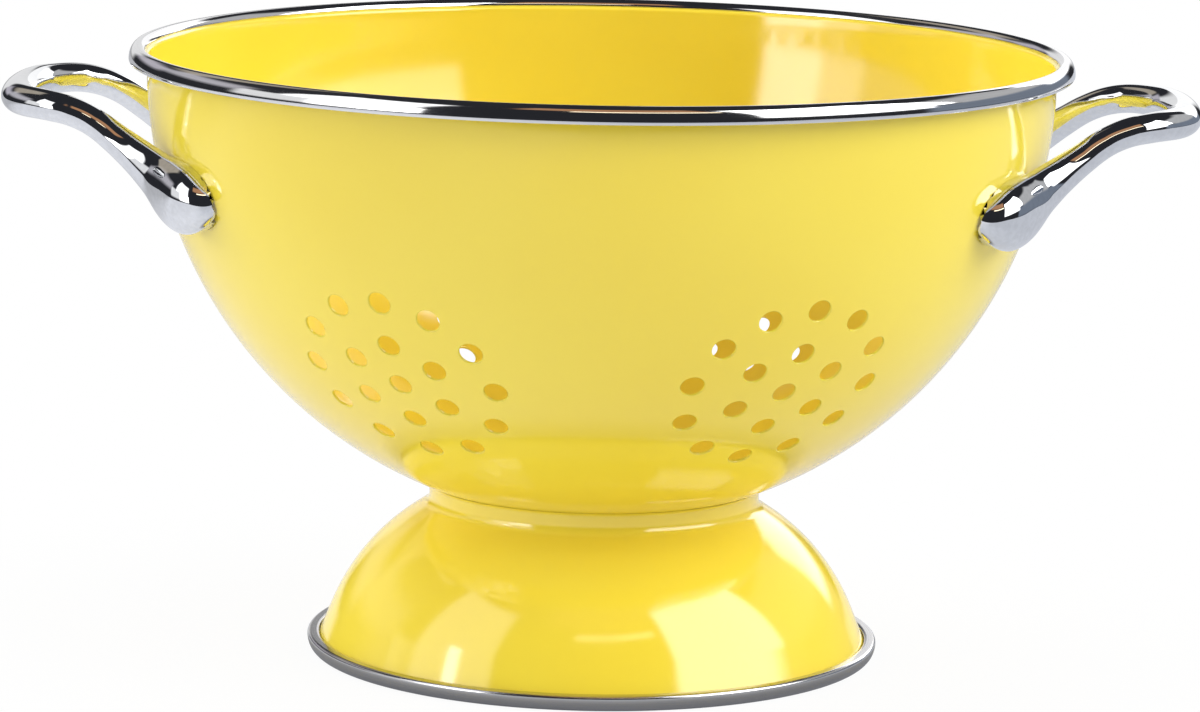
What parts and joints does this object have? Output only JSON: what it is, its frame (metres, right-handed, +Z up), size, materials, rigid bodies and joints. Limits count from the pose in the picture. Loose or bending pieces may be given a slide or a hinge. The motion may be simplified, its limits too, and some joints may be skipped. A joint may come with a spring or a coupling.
{
  "type": "colander",
  "caption": "Round two-handled footed colander: painted steel bowl with drain hole groups on a domed foot, steel trim rings and cast chrome side handles.",
  "frame": {"origin": "on the table, under the middle of the bowl and foot", "axes": "+Z up, X from the left handle to the right handle, -Y towards the front"},
  "size_m": [0.33, 0.26, 0.1687],
  "materials": {
    "yellow_coat": "glossy baked enamel paint over pressed steel",
    "polished_trim": "mirror polished stainless steel",
    "satin_trim": "satin stainless steel",
    "chrome_plate": "bright chrome plate over a zinc casting",
    "plain_steel": "plain stainless steel fasteners"
  },
  "bodies": {
    "root": {"bowl": "yellow_coat", "foot": "yellow_coat", "bowl_rim_band": "polished_trim", "foot_rim_band": "satin_trim", "left_handle": "chrome_plate", "right_handle": "chrome_plate", "left_front_screw": "plain_steel", "left_front_washer": "plain_steel", "left_rear_screw": "plain_steel", "left_rear_washer": "plain_steel", "right_front_screw": "plain_steel", "right_front_washer": "plain_steel", "right_rear_screw": "plain_steel", "right_rear_washer": "plain_steel"}
  },
  "joints": []
}
